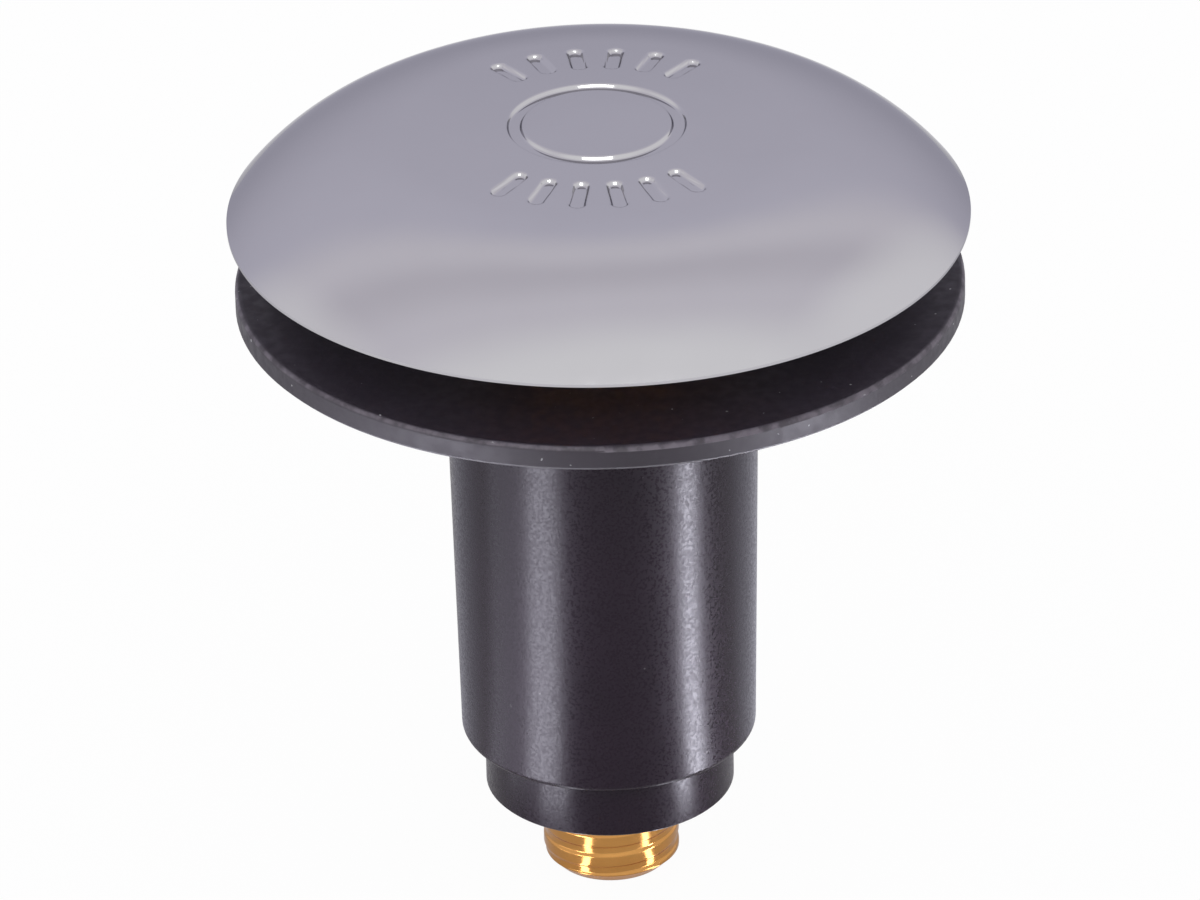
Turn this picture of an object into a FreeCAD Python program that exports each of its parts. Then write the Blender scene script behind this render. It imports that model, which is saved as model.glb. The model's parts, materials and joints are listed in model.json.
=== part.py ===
# Toe-touch bathtub drain stopper: a cap, seal and sleeve that slide on a fixed hollow post.
# Millimetres, +Z up. The origin is the centre of the foot's underside, which seats on the drain's crossbar.
# The sleeve stands in its closed position, pressed down on the post.
import FreeCAD, Part
import math
import os
import re
import Sketcher

SIZES = {
    # Mounting stud, 3/8-16 thread
    "stud_dia": 9.525,
    "stud_reach": 6.35,
    "stud_chamfer": 0.8,
    "stud_pitch": 1.5875,
    "stud_thread_depth": 0.085,
    "stud_thread_crest": 1.14,
    "stud_thread_root": 0.35,
    "stud_thread_runout": 0.9,
    "stud_undercut": 0.26,
    "stud_head_lip": 0.6,
    "stud_head_height": 2.4,
    "driver_slot_width": 1.8,
    "driver_slot_depth": 1.3,
    "driver_slot_end": 0.3,
    # Post and its foot
    "foot_height": 4.15,
    "foot_round": 0.6,
    "foot_bevel": 0.12,
    "foot_floor": 1.2,
    "foot_cover": 1.0,
    "foot_relief": 0.25,
    "foot_relief_depth": 0.5,
    "driver_hole_dia": 7.0,
    "shaft_dia": 15.2,
    "shaft_bevel": 0.4,
    "post_wall": 1.15,
    # Travel and the zigzag track that the follower pins run in
    "stroke": 11.0,
    "overtravel": 1.0,
    "track_depth": 1.1,
    "track_cover": 1.05,
    "track_corner_sink": 0.15,
    "track_corner_extra": 0.06,
    "rise_turn": 60.0,
    "dwell_turn": 12.0,
    "fall_turn": 46.0,
    "pocket_turn": 22.0,
    "index_turn": 20.0,
    # Follower ring and pins
    "pin_dia": 2.0,
    "pin_tip_gap": 0.25,
    "pin_sunk": 0.2,
    "ring_space": 1.4,
    "ring_height": 3.6,
    # Sleeve
    "sleeve_gap": 0.25,
    "sleeve_length": 33.3,
    "sleeve_wall": 1.3,
    "sleeve_flare": 0.58,
    "sleeve_round": 0.5,
    "sleeve_ceiling": 2.9,
    # Guide bush and snap ring
    "bush_land": 1.6,
    "bush_relief": 0.3,
    "bush_bevel": 0.4,
    "snap_lift": 0.3,
    "snap_thick": 0.8,
    "snap_width": 1.0,
    "snap_groove_depth": 0.4,
    "snap_gap_turn": 40.0,
    # Spring
    "spring_wire": 1.1,
    "spring_side_gap": 0.35,
    "spring_turns": 6.0,
    "spring_end_pitch": 1.6,
    "spring_end_gap": 0.05,
    # Threaded neck that clamps the seal on the sleeve
    "neck_wall": 1.9,
    "neck_proud": 0.3,
    "neck_bevel": 0.4,
    "neck_flange_thick": 1.0,
    "neck_flange_gap": 0.7,
    # Seal with its washer and nut
    "seal_dia": 50.0,
    "seal_thick": 1.8,
    "seal_round": 0.4,
    "seal_bevel": 0.25,
    "seal_groove_gap": 0.5,
    "seal_groove_width": 0.8,
    "seal_groove_depth": 0.4,
    "washer_width": 6.0,
    "washer_thick": 0.8,
    "nut_wall": 2.7,
    "nut_height": 3.0,
    "nut_bevel": 0.7,
    # Cap with its hub and washer
    "cap_dia": 50.8,
    "cap_rise": 6.5,
    "cap_skirt": 0.2,
    "cap_shoulder": 16.6,
    "cap_shoulder_width": 13.05,
    "cap_crown": 200.0,
    "cap_wall": 0.9,
    "cap_washer_thick": 0.6,
    "cap_washer_width": 1.43,
    "hub_dia": 11.0,
    "hub_flange_lip": 0.35,
    "hub_flange_thick": 1.0,
    "cap_thread_dia": 7.9375,
    "cap_thread_stop": 1.7,
    "cap_thread_bevel": 0.6,
    # Clearances, each on one side
    "moulded_clear": 0.02,
    "press_clear": 0.02,
    "running_clear": 0.08,
    "ring_clear": 0.12,
    "ring_end_clear": 0.1,
    "shaft_clear": 0.4,
    "foot_clear": 0.3,
    "track_clear": 0.15,
    "post_top_clear": 0.4,
    "thread_clear": 0.1,
    "braze_clear": 0.03,
}

# Diameters and widths that several pieces share, worked out from the sizes
STUD_HEAD = "(stud_dia + 2 * stud_head_lip)"
STUD_NECK = "(stud_dia - 2 * stud_undercut)"
TRACK_FLOOR = "(shaft_dia / 2 - track_depth)"
POST_BORE = f"(2 * ({TRACK_FLOOR} - track_corner_sink - post_wall))"
RING_BORE = "(shaft_dia + 2 * ring_space)"
FOOT = f"({RING_BORE} - 2 * foot_clear)"
SLEEVE_END = f"({RING_BORE} + 2 * sleeve_wall)"
SLEEVE_RIM = f"({SLEEVE_END} + 2 * sleeve_flare)"
SEAL_GROOVE = f"({SLEEVE_RIM} + 2 * seal_groove_gap)"
UPPER_BORE = "(shaft_dia + 2 * shaft_clear)"
CAP_HOLE = "(cap_thread_dia + 2 * thread_clear)"
NECK = f"({CAP_HOLE} + 2 * neck_wall)"
NUT = f"({NECK} + 2 * nut_wall)"
HUB_FLANGE = f"({NUT} + 2 * hub_flange_lip)"

# Heights that several pieces share
HEAD_TOP = "(foot_floor + stud_head_height)"
BORE_FLOOR = f"({HEAD_TOP} + foot_cover)"
SLEEVE_FOOT = "(foot_height + sleeve_gap)"
SLEEVE_TOP = f"({SLEEVE_FOOT} + sleeve_length)"
CEILING = f"({SLEEVE_TOP} - sleeve_ceiling)"
FLANGE_FOOT = f"({CEILING} - neck_flange_thick)"
POST_TOP = f"({FLANGE_FOOT} - overtravel - post_top_clear)"
PIN_LEVEL = f"({POST_TOP} - track_cover - track_corner_extra - track_clear - pin_dia / 2 - stroke)"
RING_FOOT = f"({PIN_LEVEL} - ring_height / 2)"
RING_TOP = f"({PIN_LEVEL} + ring_height / 2)"
SNAP_FOOT = f"({SLEEVE_FOOT} + overtravel + snap_lift)"
SNAP_TOP = f"({SNAP_FOOT} + snap_thick)"
BUSH_TOP = f"({RING_FOOT} - ring_end_clear)"
SEAL_TOP = f"({SLEEVE_TOP} + seal_thick)"
WASHER_TOP = f"({SEAL_TOP} + washer_thick)"
NUT_TOP = f"({WASHER_TOP} + nut_height)"
NECK_TOP = f"({NUT_TOP} + neck_proud)"
HUB_FOOT = f"({NECK_TOP} + cap_washer_thick)"
CAP_RIM = f"({SLEEVE_TOP} + cap_rise)"

# The cap is an almost flat crown arc that runs into a shoulder arc, which ends at the rim
SHOULDER_ACROSS = "(cap_dia / 2 - cap_shoulder_width)"
SHOULDER_DROP = "sqrt(cap_shoulder^2 - cap_shoulder_width^2)"
SHOULDER_LEVEL = f"({CAP_RIM} + cap_skirt - {SHOULDER_DROP})"
CROWN_DROP = f"sqrt((cap_crown - cap_shoulder)^2 - {SHOULDER_ACROSS}^2)"
CROWN_CENTRE = f"({SHOULDER_LEVEL} - {CROWN_DROP})"
CAP_TOP = f"({CROWN_CENTRE} + cap_crown)"

PINS = 2

doc = FreeCAD.newDocument("drain_stopper")
sheet = doc.addObject("Spreadsheet::Sheet", "sizes")
for row, (name, value) in enumerate(SIZES.items(), start=1):
    sheet.set(f"A{row}", name)
    sheet.set(f"B{row}", str(value))
    sheet.setAlias(f"B{row}", name)
doc.recompute()


def size(expression):
    """Number that an expression in size names stands for."""
    return float(sheet.evalExpression(expression))


def bound(expression):
    """Expression whose size names point at the sheet."""
    return re.sub(r"[a-z_]+", lambda word: f"sizes.{word[0]}" if word[0] in SIZES else word[0], expression)


def origin_plane(body, role):
    return next(item for item in body.Origin.OriginFeatures if item.Role == role)


def new_body(name):
    body = doc.addObject("PartDesign::Body", name)
    body.Label = name
    return body


def arc_between(start, end, radius, turn):
    """Arc of under a half circle from start to end, bending left or right on its way."""
    chord = end - start
    side = FreeCAD.Vector(-chord.y, chord.x, 0).normalize() * (1 if turn == "left" else -1)
    centre = (start + end) / 2 + side * math.sqrt(radius**2 - (chord.Length / 2) ** 2)
    circle = Part.Circle(centre, FreeCAD.Vector(0, 0, 1), radius)
    first, last = (start, end) if turn == "left" else (end, start)
    return Part.ArcOfCircle(circle, circle.parameter(first), circle.parameter(last))


def outline_sketch(body, name, corners):
    """Closed outline in the XZ plane. A corner is (radius, height), and one that starts an arc
    also has the arc's radius and the side, left or right, to which it bends."""
    sketch = body.newObject("Sketcher::SketchObject", name)
    sketch.AttachmentSupport = [(origin_plane(body, "XZ_Plane"), "")]
    sketch.MapMode = "FlatFace"
    points = [FreeCAD.Vector(size(corner[0]), size(corner[1]), 0) for corner in corners]
    edges = []
    for index, corner in enumerate(corners):
        start, end = points[index], points[(index + 1) % len(points)]
        if len(corner) == 2:
            edges.append((sketch.addGeometry(Part.LineSegment(start, end), False), 1, 2))
            continue
        arc = sketch.addGeometry(arc_between(start, end, size(corner[2]), corner[3]), False)
        edges.append((arc, 1, 2) if corner[3] == "left" else (arc, 2, 1))
        bind(sketch, sketch.addConstraint(Sketcher.Constraint("Radius", arc, size(corner[2]))), corner[2])
    for index, (edge, first, last) in enumerate(edges):
        following, following_first, _ = edges[(index + 1) % len(edges)]
        sketch.addConstraint(Sketcher.Constraint("Coincident", edge, last, following, following_first))
        if corners[index][0] == "0":
            sketch.addConstraint(Sketcher.Constraint("PointOnObject", edge, first, -2))
        else:
            across = Sketcher.Constraint("DistanceX", -1, 1, edge, first, points[index].x)
            bind(sketch, sketch.addConstraint(across), corners[index][0])
        up = Sketcher.Constraint("DistanceY", -1, 1, edge, first, points[index].y)
        bind(sketch, sketch.addConstraint(up), corners[index][1])
    return sketch


def bind(sketch, constraint, expression):
    sketch.setExpression(f"Constraints[{constraint}]", bound(expression))


def turn_outline(body, kind, name, corners, turn="360"):
    """Revolution or Groove of an outline about the body's Z axis."""
    sketch = outline_sketch(body, f"{name}_outline", corners)
    feature = body.newObject(f"PartDesign::{kind}", name)
    feature.Profile = sketch
    feature.ReferenceAxis = (sketch, ["V_Axis"])
    feature.setExpression("Angle", bound(turn))
    return feature


def turned(name, corners, turn="360"):
    """Body of one name, turned from one outline."""
    body = new_body(name)
    turn_outline(body, "Revolution", f"{name}_turning", corners, turn)
    return body


def add_primitive(body, kind, name, place, sizes):
    """Additive or subtractive primitive, set off from the body's XY plane."""
    feature = body.newObject(f"PartDesign::{kind}", name)
    feature.AttachmentSupport = [(origin_plane(body, "XY_Plane"), "")]
    feature.MapMode = "FlatFace"
    for axis, expression in zip("xyz", place):
        feature.setExpression(f".AttachmentOffset.Base.{axis}", bound(expression))
    for quantity, expression in sizes.items():
        feature.setExpression(quantity, bound(expression))
    return feature


def make_mounting_stud():
    """Brass stud with its thread below the foot and a slotted hexagon head inside it."""
    body = turned("mounting_stud", [
        ("0", "-stud_reach"),
        ("stud_dia / 2 - stud_chamfer", "-stud_reach"),
        ("stud_dia / 2", "stud_chamfer - stud_reach"),
        ("stud_dia / 2", "0"),
        (f"{STUD_NECK} / 2", "0"),
        (f"{STUD_NECK} / 2", "foot_floor"),
        ("0", "foot_floor"),
    ])
    add_primitive(body, "AdditivePrism", "stud_head", ("0", "0", "foot_floor"), {
        "Circumradius": f"{STUD_HEAD} / 2 / cos(30)",
        "Height": "stud_head_height",
    })
    slot_length = "(driver_hole_dia - 2 * driver_slot_end)"
    slot_corner = (f"-{slot_length} / 2", "-driver_slot_width / 2", f"{HEAD_TOP} - driver_slot_depth")
    add_primitive(body, "SubtractiveBox", "driver_slot", slot_corner, {
        "Length": slot_length,
        "Width": "driver_slot_width",
        "Height": "driver_slot_depth",
    })
    # The thread's groove starts in the air one pitch below the stud and runs out under the foot
    valley = "((stud_pitch - stud_thread_crest) / 2)"
    flank = f"(({valley} - stud_thread_root / 2) / stud_thread_depth)"
    proud = "(stud_thread_crest / 4)"
    groove_level = "(-stud_reach - stud_pitch)"
    groove = outline_sketch(body, "thread_outline", [
        ("stud_dia / 2 - stud_thread_depth", f"{groove_level} - stud_thread_root / 2"),
        (f"stud_dia / 2 + {proud}", f"{groove_level} - {valley} - {proud} * {flank}"),
        (f"stud_dia / 2 + {proud}", f"{groove_level} + {valley} + {proud} * {flank}"),
        ("stud_dia / 2 - stud_thread_depth", f"{groove_level} + stud_thread_root / 2"),
    ])
    thread = body.newObject("PartDesign::SubtractiveHelix", "thread")
    thread.Profile = groove
    thread.ReferenceAxis = (groove, ["V_Axis"])
    thread.Mode = "pitch-height-angle"
    thread.setExpression("Pitch", bound("stud_pitch"))
    thread.setExpression("Height", bound("stud_reach + stud_pitch - stud_thread_runout"))
    return body


def make_post():
    """Hollow post moulded round the stud's head, with the follower's track cut into its shaft."""
    blank = turned("post_blank", [
        (f"{STUD_NECK} / 2 + moulded_clear", "foot_relief_depth"),
        ("stud_dia / 2 + foot_relief", "0"),
        (f"{FOOT} / 2 - foot_bevel", "0"),
        (f"{FOOT} / 2", "foot_bevel"),
        (f"{FOOT} / 2", "foot_height - foot_round", "foot_round", "left"),
        (f"{FOOT} / 2 - foot_round", "foot_height"),
        ("shaft_dia / 2", "foot_height"),
        ("shaft_dia / 2", f"{POST_TOP} - shaft_bevel"),
        ("shaft_dia / 2 - shaft_bevel", POST_TOP),
        (f"{POST_BORE} / 2", POST_TOP),
        (f"{POST_BORE} / 2", BORE_FLOOR),
        ("driver_hole_dia / 2", BORE_FLOOR),
        ("driver_hole_dia / 2", "foot_floor"),
        (f"{STUD_NECK} / 2 + moulded_clear", "foot_floor"),
    ])
    add_primitive(blank, "SubtractivePrism", "head_pocket", ("0", "0", "foot_floor"), {
        "Circumradius": f"({STUD_HEAD} / 2 + moulded_clear) / cos(30)",
        "Height": "stud_head_height",
    })
    track = doc.addObject("Part::Feature", "follower_track")
    track.Shape = follower_track()
    post = doc.addObject("Part::Cut", "post")
    post.Base = blank
    post.Tool = track
    post.Label = "post"
    return post


def follower_track():
    """Closed zigzag channel round the shaft, one lap of rise, fall and latch pocket for each pin.
    The pins climb the rise at a steady rate from the over-travel to the open height."""
    low = size(f"{PIN_LEVEL} - overtravel")
    latched = size(PIN_LEVEL)
    high = size(f"{PIN_LEVEL} + stroke")
    lap = [
        (-size("overtravel * rise_turn / stroke"), low),
        (size("rise_turn"), high),
        (size("rise_turn + dwell_turn"), high),
        (size("rise_turn + dwell_turn + fall_turn"), low),
        (size("rise_turn + dwell_turn + fall_turn + pocket_turn"), latched),
        (size("rise_turn + dwell_turn + fall_turn + pocket_turn + index_turn"), low),
    ]
    path = [(turn + 360 / PINS * index, level) for index in range(PINS) for turn, level in lap]
    path.append((lap[0][0] + 360, lap[0][1]))
    cutters = []
    for start, end in zip(path, path[1:]):
        cutters += [track_corner(start), track_channel(start, end)]
    return cutters[0].fuse(cutters[1:])


def track_corner(place):
    """Round pocket at a bend of the track, a little wider and deeper than the channels that meet there."""
    turn, level = place
    floor = size(f"{TRACK_FLOOR} - track_corner_sink")
    depth = size("shaft_dia / 2 + shaft_clear") - floor
    radius = size("pin_dia / 2 + track_clear + track_corner_extra")
    corner = Part.makeCylinder(radius, depth, FreeCAD.Vector(floor, 0, level), FreeCAD.Vector(1, 0, 0))
    corner.rotate(FreeCAD.Vector(0, 0, 0), FreeCAD.Vector(0, 0, 1), turn)
    return corner


def track_channel(start, end):
    """Channel of the track from one bend to the next: along a helix, or level round the shaft."""
    floor = size(TRACK_FLOOR)
    rim = size("shaft_dia / 2 + shaft_clear")
    half_width = size("pin_dia / 2 + track_clear")
    turn = end[0] - start[0]
    rise = end[1] - start[1]
    lower = start if rise >= 0 else end
    middle = (floor + rim) / 2
    slope = math.atan2(abs(rise), middle * math.radians(turn))
    lean = math.sin(slope) * (-1 if rise >= 0 else 1)
    across = FreeCAD.Vector(0, lean, math.cos(slope)) * half_width
    inner, outer = FreeCAD.Vector(floor, 0, 0), FreeCAD.Vector(rim, 0, 0)
    corners = [inner - across, outer - across, outer + across, inner + across]
    section = Part.makePolygon(corners + corners[:1])
    if rise == 0:
        channel = Part.Face(section).revolve(FreeCAD.Vector(0, 0, 0), FreeCAD.Vector(0, 0, 1), turn)
    else:
        helix = Part.makeHelix(abs(rise) * 360 / turn, abs(rise), middle, 0, rise < 0)
        channel = Part.Wire(helix.Edges).makePipeShell([section], True, True)
    channel.rotate(FreeCAD.Vector(0, 0, 0), FreeCAD.Vector(0, 0, 1), lower[0])
    channel.translate(FreeCAD.Vector(0, 0, lower[1]))
    return channel


def make_sleeve():
    """Tapered barrel, stepped inside for the follower ring, with a groove for the snap ring."""
    return turned("sleeve", [
        (f"{RING_BORE} / 2", SLEEVE_FOOT),
        (f"{SLEEVE_END} / 2 - sleeve_round", SLEEVE_FOOT, "sleeve_round", "left"),
        (f"{SLEEVE_END} / 2", f"{SLEEVE_FOOT} + sleeve_round"),
        (f"{SLEEVE_RIM} / 2", SLEEVE_TOP),
        (f"{NECK} / 2 + press_clear", SLEEVE_TOP),
        (f"{NECK} / 2 + press_clear", CEILING),
        (f"{UPPER_BORE} / 2", CEILING),
        (f"{UPPER_BORE} / 2", f"{RING_TOP} + ring_end_clear"),
        (f"{RING_BORE} / 2", f"{RING_TOP} + ring_end_clear"),
        (f"{RING_BORE} / 2", SNAP_TOP),
        (f"{RING_BORE} / 2 + snap_groove_depth", SNAP_TOP),
        (f"{RING_BORE} / 2 + snap_groove_depth", SNAP_FOOT),
        (f"{RING_BORE} / 2", SNAP_FOOT),
    ])


def make_follower_ring():
    """Ring that turns between the sleeve and the post, drilled across for its pins."""
    body = turned("follower_ring", [
        ("shaft_dia / 2 + ring_clear", RING_FOOT),
        (f"{RING_BORE} / 2 - ring_clear", RING_FOOT),
        (f"{RING_BORE} / 2 - ring_clear", RING_TOP),
        ("shaft_dia / 2 + ring_clear", RING_TOP),
    ])
    sketch = body.newObject("Sketcher::SketchObject", "pin_hole_outline")
    sketch.AttachmentSupport = [(origin_plane(body, "YZ_Plane"), "")]
    sketch.MapMode = "FlatFace"
    radius = "pin_dia / 2 + press_clear"
    centre = FreeCAD.Vector(0, size(PIN_LEVEL), 0)
    hole = sketch.addGeometry(Part.Circle(centre, FreeCAD.Vector(0, 0, 1), size(radius)), False)
    sketch.addConstraint(Sketcher.Constraint("PointOnObject", hole, 3, -2))
    level = sketch.addConstraint(Sketcher.Constraint("DistanceY", -1, 1, hole, 3, centre.y))
    bind(sketch, level, PIN_LEVEL)
    bind(sketch, sketch.addConstraint(Sketcher.Constraint("Radius", hole, size(radius))), radius)
    drilling = body.newObject("PartDesign::Pocket", "pin_holes")
    drilling.Profile = sketch
    drilling.SideType = "Symmetric"
    drilling.Type = "ThroughAll"
    return body


def make_follower_pins():
    """Two pins that reach from inside the ring into the track, one on each side."""
    pins = []
    for index in range(PINS):
        side = 1 - 2 * index
        pin = doc.addObject("Part::Cylinder", f"follower_pin_{index + 1}")
        pin.setExpression("Radius", bound("pin_dia / 2"))
        tip = f"({TRACK_FLOOR} + pin_tip_gap)"
        pin.setExpression("Height", bound(f"{RING_BORE} / 2 - ring_clear - pin_sunk - {tip}"))
        pin.Placement = FreeCAD.Placement(
            FreeCAD.Vector(0, 0, 0), FreeCAD.Rotation(FreeCAD.Vector(0, 1, 0), 90 * side)
        )
        pin.setExpression(".Placement.Base.x", bound(f"{side} * {tip}"))
        pin.setExpression(".Placement.Base.z", bound(PIN_LEVEL))
        pins.append(pin)
    group = doc.addObject("Part::Compound", "follower_pins")
    group.Links = pins
    group.Label = "follower_pins"
    return group


def make_guide_bush():
    """Bush pressed into the sleeve under the ring, with two running lands on the shaft."""
    land = "shaft_dia / 2 + running_clear"
    relief = f"{land} + bush_relief"
    outer = f"{RING_BORE} / 2 - press_clear"
    return turned("guide_bush", [
        (f"{land} + bush_bevel", SNAP_TOP),
        (f"{outer} - bush_bevel", SNAP_TOP),
        (outer, f"{SNAP_TOP} + bush_bevel"),
        (outer, BUSH_TOP),
        (land, BUSH_TOP),
        (land, f"{BUSH_TOP} - bush_land"),
        (relief, f"{BUSH_TOP} - bush_land - bush_relief"),
        (relief, f"{SNAP_TOP} + bush_land + bush_relief"),
        (land, f"{SNAP_TOP} + bush_land"),
        (land, f"{SNAP_TOP} + bush_bevel"),
    ])


def make_snap_ring():
    """Open ring in the sleeve's lower groove."""
    outer = f"{RING_BORE} / 2 + snap_groove_depth - press_clear"
    return turned("snap_ring", [
        (f"{outer} - snap_width", f"{SNAP_FOOT} + press_clear"),
        (outer, f"{SNAP_FOOT} + press_clear"),
        (outer, SNAP_TOP),
        (f"{outer} - snap_width", SNAP_TOP),
    ], turn="360 - snap_gap_turn")


def make_spring():
    """Compression spring from the bore's floor to the neck's flange, wound with close end turns."""
    wire = size("spring_wire")
    floor = size(f"{BORE_FLOOR} + spring_end_gap") + wire / 2
    height = size(f"{FLANGE_FOOT} - spring_end_gap") - wire / 2 - floor
    turns = size("spring_turns")
    end_pitch = size("spring_end_pitch")
    pitch = (height - 2 * end_pitch) / turns
    knots = [(0, end_pitch), (1, end_pitch), (1 + turns, pitch), (2 + turns, end_pitch)]
    radius = size(f"{POST_BORE} / 2 - spring_side_gap") - wire / 2

    def place(at):
        """Point and direction of the wire after so many turns."""
        level = floor
        for (begin, _), (end, rate) in zip(knots, knots[1:]):
            level += rate * max(0, min(at, end) - begin)
        angle = 2 * math.pi * at
        rate = pitch if 1 < at < 1 + turns else end_pitch
        if abs(at - 1) < 1e-9 or abs(at - 1 - turns) < 1e-9:
            rate = (pitch + end_pitch) / 2
        point = FreeCAD.Vector(radius * math.cos(angle), radius * math.sin(angle), level)
        run = FreeCAD.Vector(-math.sin(angle), math.cos(angle), rate / (2 * math.pi * radius))
        return point, run.normalize()

    quarters = int(round(4 * (turns + 2)))
    stations = [place(index / 4) for index in range(quarters + 1)]
    edges = []
    for start, end in zip(stations, stations[1:]):
        edges += biarc(*start, *end)
    path = Part.Wire(edges)
    section = Part.Wire(Part.makeCircle(wire / 2, stations[0][0], stations[0][1]))
    spring = doc.addObject("Part::Feature", "spring")
    spring.Shape = path.makePipeShell([section], True, False)
    spring.Label = "spring"
    print(f"spring: least gap to itself {least_gap(path, turns + 2, wire):.2f} mm")
    return spring


def biarc(start, start_run, end, end_run):
    """Two arcs that meet smoothly, from one point and direction to another."""
    chord = end - start
    both = start_run + end_run
    square = 2 * (1 - start_run.dot(end_run))
    reach = (math.sqrt(chord.dot(both) ** 2 + square * chord.dot(chord)) - chord.dot(both)) / square
    joint = (start + end + (start_run - end_run) * reach) / 2
    return [arc_along(start, start_run, joint), arc_along(end, -end_run, joint)]


def arc_along(start, run, end):
    """Arc that leaves start in the given direction and ends at end."""
    chord = end - start
    along = FreeCAD.Vector(chord).normalize()
    side = (run - along * run.dot(along)).normalize()
    half_turn = run.getAngle(along)
    middle = (start + end) / 2 + side * (chord.Length / 2 * math.tan(half_turn / 2))
    return Part.Arc(start, middle, end).toShape()


def least_gap(path, turns, wire):
    """Least distance between the wire's surfaces on turns that lie side by side."""
    steps = 48
    points = path.discretize(int(turns * steps) + 1)
    gaps = [
        (later - point).Length - wire
        for index, point in enumerate(points)
        for later in points[index + steps // 2:index + 2 * steps]
    ]
    return min(gaps)


def make_neck_bush():
    """Threaded neck through the sleeve's ceiling and the seal, with a flange under the ceiling."""
    flange = f"({UPPER_BORE} / 2 - neck_flange_gap)"
    return turned("neck_bush", [
        (f"{CAP_HOLE} / 2", FLANGE_FOOT),
        (flange, FLANGE_FOOT),
        (flange, CEILING),
        (f"{NECK} / 2", CEILING),
        (f"{NECK} / 2", f"{NECK_TOP} - neck_bevel"),
        (f"{NECK} / 2 - neck_bevel", NECK_TOP),
        (f"{CAP_HOLE} / 2", NECK_TOP),
    ])


def make_seal():
    """Rubber disc with a rounded upper edge, a bevelled lower one and a groove that lets its lip bend."""
    return turned("seal", [
        (f"{NECK} / 2 + press_clear", SLEEVE_TOP),
        (f"{SEAL_GROOVE} / 2", SLEEVE_TOP),
        (f"{SEAL_GROOVE} / 2", f"{SLEEVE_TOP} + seal_groove_depth"),
        (f"{SEAL_GROOVE} / 2 + seal_groove_width", f"{SLEEVE_TOP} + seal_groove_depth"),
        (f"{SEAL_GROOVE} / 2 + seal_groove_width", SLEEVE_TOP),
        ("seal_dia / 2 - seal_bevel", SLEEVE_TOP),
        ("seal_dia / 2", f"{SLEEVE_TOP} + seal_bevel"),
        ("seal_dia / 2", f"{SEAL_TOP} - seal_round", "seal_round", "left"),
        ("seal_dia / 2 - seal_round", SEAL_TOP),
        (f"{NECK} / 2 + press_clear", SEAL_TOP),
    ])


def make_seal_washer():
    return turned("seal_washer", [
        (f"{NECK} / 2 + thread_clear", SEAL_TOP),
        (f"{NECK} / 2 + washer_width", SEAL_TOP),
        (f"{NECK} / 2 + washer_width", WASHER_TOP),
        (f"{NECK} / 2 + thread_clear", WASHER_TOP),
    ])


def make_seal_nut():
    """Thin hexagon nut on the neck, with its upper corners bevelled."""
    body = new_body("seal_nut")
    corner = f"({NUT} / 2 / cos(30))"
    add_primitive(body, "AdditivePrism", "nut_blank", ("0", "0", WASHER_TOP), {
        "Circumradius": corner,
        "Height": "nut_height",
    })
    add_primitive(body, "SubtractiveCylinder", "nut_hole", ("0", "0", WASHER_TOP), {
        "Radius": f"{NECK} / 2 + thread_clear",
        "Height": "nut_height",
    })
    turn_outline(body, "Groove", "nut_corners", [
        (f"{NUT} / 2", NUT_TOP),
        (f"{corner} + nut_bevel", f"{NUT_TOP} - (({corner} - {NUT} / 2) + nut_bevel) * tan(30)"),
        (f"{corner} + nut_bevel", NUT_TOP),
    ])
    return body


def make_cap_washer():
    return turned("cap_washer", [
        (f"{CAP_HOLE} / 2", NECK_TOP),
        (f"{CAP_HOLE} / 2 + cap_washer_width", NECK_TOP),
        (f"{CAP_HOLE} / 2 + cap_washer_width", HUB_FOOT),
        (f"{CAP_HOLE} / 2", HUB_FOOT),
    ])


def make_cap_stud():
    """Brass hub that is brazed under the cap's crown, with the stud that screws into the neck."""
    crown = "(cap_crown - cap_wall - braze_clear)"
    flange_top = f"({CROWN_CENTRE} + sqrt({crown}^2 - ({HUB_FLANGE} / 2)^2))"
    return turned("cap_stud", [
        ("0", f"{FLANGE_FOOT} + cap_thread_stop"),
        ("cap_thread_dia / 2 - cap_thread_bevel", f"{FLANGE_FOOT} + cap_thread_stop"),
        ("cap_thread_dia / 2", f"{FLANGE_FOOT} + cap_thread_stop + cap_thread_bevel"),
        ("cap_thread_dia / 2", HUB_FOOT),
        ("hub_dia / 2", HUB_FOOT),
        ("hub_dia / 2", f"{flange_top} - hub_flange_thick"),
        (f"{HUB_FLANGE} / 2", f"{flange_top} - hub_flange_thick"),
        (f"{HUB_FLANGE} / 2", flange_top, crown, "left"),
        ("0", f"{CAP_TOP} - cap_wall - braze_clear"),
    ])


def make_cap():
    """Domed shell of even wall, open below, with a narrow land at its rim."""
    def tangent(radius):
        """Point where a crown arc of this radius runs into its shoulder arc."""
        share = f"({radius} / (cap_crown - cap_shoulder))"
        return f"{SHOULDER_ACROSS} * {share}", f"{CROWN_CENTRE} + {CROWN_DROP} * {share}"

    inner_crown = "(cap_crown - cap_wall)"
    inner_shoulder = "(cap_shoulder - cap_wall)"
    inner_rim = f"{SHOULDER_ACROSS} + sqrt({inner_shoulder}^2 - ({CAP_RIM} - {SHOULDER_LEVEL})^2)"
    return turned("cap", [
        (inner_rim, CAP_RIM),
        ("cap_dia / 2", CAP_RIM),
        ("cap_dia / 2", f"{CAP_RIM} + cap_skirt", "cap_shoulder", "left"),
        (*tangent("cap_crown"), "cap_crown", "left"),
        ("0", CAP_TOP),
        ("0", f"{CAP_TOP} - cap_wall", inner_crown, "right"),
        (*tangent(inner_crown), inner_shoulder, "right"),
    ])


pieces = [
    make_mounting_stud(),
    make_post(),
    make_sleeve(),
    make_follower_ring(),
    make_follower_pins(),
    make_guide_bush(),
    make_snap_ring(),
    make_spring(),
    make_neck_bush(),
    make_seal(),
    make_seal_washer(),
    make_seal_nut(),
    make_cap_washer(),
    make_cap_stud(),
    make_cap(),
]
doc.recompute()

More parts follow.
